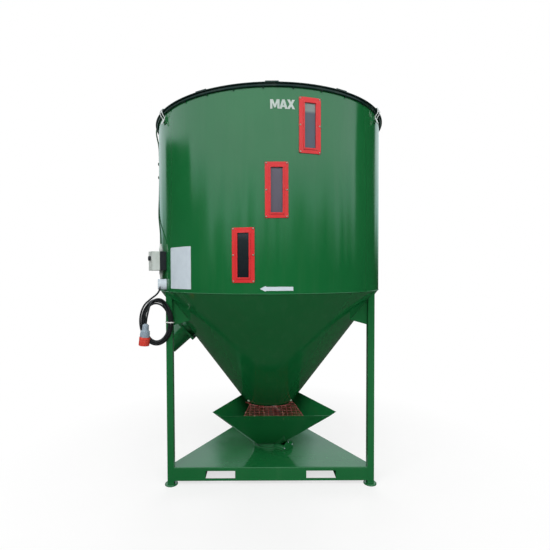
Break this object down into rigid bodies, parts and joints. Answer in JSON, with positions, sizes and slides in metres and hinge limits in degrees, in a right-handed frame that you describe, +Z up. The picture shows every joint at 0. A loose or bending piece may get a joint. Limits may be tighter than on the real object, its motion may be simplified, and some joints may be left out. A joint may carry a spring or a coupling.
{
  "type": "vertical feed mixer",
  "caption": "Stationary vertical feed mixer: a tall round bin over a cone on legs, with a floor-level loading hopper, an auger in a lift tube, sight windows and a gated side chute.",
  "frame": {"origin": "on the floor, under the axis of the bin and auger", "axes": "+Z up along the bin's axis, -Y towards the front with the sight windows and the loading hopper, +X to the right seen from the front"},
  "size_m": [1.5779, 1.5519, 2.69],
  "materials": {
    "green_paint": "gloss enamel over sheet steel",
    "dark_green_paint": "gloss enamel, dark",
    "red_paint": "gloss enamel",
    "clear_pane": "clear plastic sheet",
    "zinc": "bright zinc plate",
    "worn_steel": "polished by the feed",
    "grey_paint": "satin",
    "black_plastic": "fine texture",
    "grey_plastic": "smooth",
    "cable_rubber": "smooth sheath",
    "plug_grey": "smooth",
    "plug_red": "smooth"
  },
  "bodies": {
    "frame": {"base_plate": "green_paint", "belt_guard": "green_paint", "bin_shell": "green_paint", "boot": "green_paint", "cable_clips": "black_plastic", "cable_coil": "cable_rubber", "cable_glands": "grey_plastic", "chute_neck": "green_paint", "chute_spout": "green_paint", "clean_out_cover": "green_paint", "cone_shell": "green_paint", "drive_bridge": "green_paint", "feet": "green_paint", "fork_guides": "green_paint", "front_apron": "green_paint", "gusset_plates": "green_paint", "hatch_hinge": "green_paint", "hopper": "green_paint", "hopper_guard": "red_paint", "inlet_stub": "green_paint", "legs": "green_paint", "lid": "green_paint", "lid_latches": "zinc", "lift_tube": "green_paint", "motor": "grey_paint", "motor_cable": "cable_rubber", "plug_body": "plug_grey", "plug_collar": "plug_red", "plug_lead": "cable_rubber", "rim_ring": "dark_green_paint", "side_aprons": "green_paint", "supply_cable": "cable_rubber", "switch_base": "black_plastic", "switch_cover": "grey_plastic", "switch_knob": "black_plastic", "tube_struts": "green_paint", "vent_stub": "green_paint", "window_frame_high": "red_paint", "window_frame_low": "red_paint", "window_frame_middle": "red_paint", "window_panes": "clear_pane"},
    "auger": {"auger": "worn_steel"},
    "gate": {"gate_blade": "zinc"},
    "hatch": {"hatch": "green_paint"}
  },
  "joints": [
    {"name": "auger_turn", "type": "hinge", "parent": "frame", "child": "auger", "pos_m": [0, 0, 1.2], "axis": [0, 0, 1], "continuous": true},
    {"name": "gate_slide", "type": "slide", "parent": "frame", "child": "gate", "axis": [-0.6613, 0, 0.7501], "range_m": [0, 0.16]},
    {"name": "hatch_hinge", "type": "hinge", "parent": "frame", "child": "hatch", "pos_m": [0, -0.294, 2.32], "axis": [-1, 0, 0], "range_deg": [0, 110]}
  ]
}
